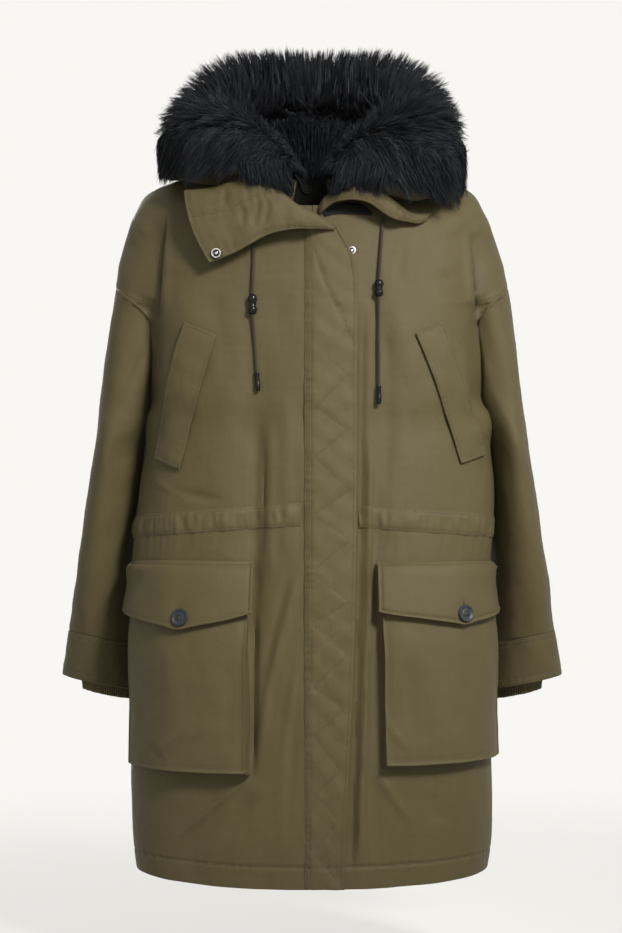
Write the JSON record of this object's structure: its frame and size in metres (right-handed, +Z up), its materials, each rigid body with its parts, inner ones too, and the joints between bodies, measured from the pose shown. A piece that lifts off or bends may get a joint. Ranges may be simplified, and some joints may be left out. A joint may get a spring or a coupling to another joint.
{
  "type": "fur trimmed parka",
  "caption": "Knee-length hooded parka in olive twill with a fur lined hood, a quilted storm flap, flapped bellows pockets and knit cuffs, held open and filled out.",
  "frame": {"origin": "middle of the neck opening, level with the tops of the front lapels, where the wearer's neck and shoulders hold the coat", "axes": "+Z up along the standing coat, the front faces -Y, the wearer's right is -X"},
  "size_m": [0.7122, 0.3124, 1.1513],
  "materials": {
    "olive_twill": "smooth matt cotton twill",
    "rib_knit": "ribbed knit",
    "black_fur": "long soft black fur with a grey sheen",
    "olive_cord": "braided cord",
    "black_plastic": "glossy",
    "snap_metal": "polished",
    "slate_button": "satin"
  },
  "bodies": {
    "root": {"right_front": "olive_twill", "left_front": "olive_twill", "back": "olive_twill", "right_sleeve": "olive_twill", "left_sleeve": "olive_twill", "right_sleeve_band": "olive_twill", "left_sleeve_band": "olive_twill", "storm_flap": "olive_twill", "right_chest_welt": "olive_twill", "left_chest_welt": "olive_twill", "right_pocket_bag": "olive_twill", "left_pocket_bag": "olive_twill", "right_pocket_flap": "olive_twill", "left_pocket_flap": "olive_twill", "right_waist_channel": "olive_twill", "left_waist_channel": "olive_twill", "back_waist_channel": "olive_twill", "hood_shell": "olive_twill", "right_collar_wing": "olive_twill", "left_collar_wing": "olive_twill", "back_neck_facing": "olive_twill", "right_knit_cuff": "rib_knit", "left_knit_cuff": "rib_knit", "hood_fur": "black_fur", "right_drawcord_upper": "olive_cord", "right_drawcord_lower": "olive_cord", "left_drawcord_upper": "olive_cord", "left_drawcord_lower": "olive_cord", "hang_loop": "olive_cord", "right_stopper": "black_plastic", "left_stopper": "black_plastic", "right_cord_tip": "black_plastic", "left_cord_tip": "black_plastic", "collar_snap": "snap_metal", "edge_snap": "snap_metal", "right_pocket_button": "slate_button", "left_pocket_button": "slate_button"}
  },
  "joints": []
}
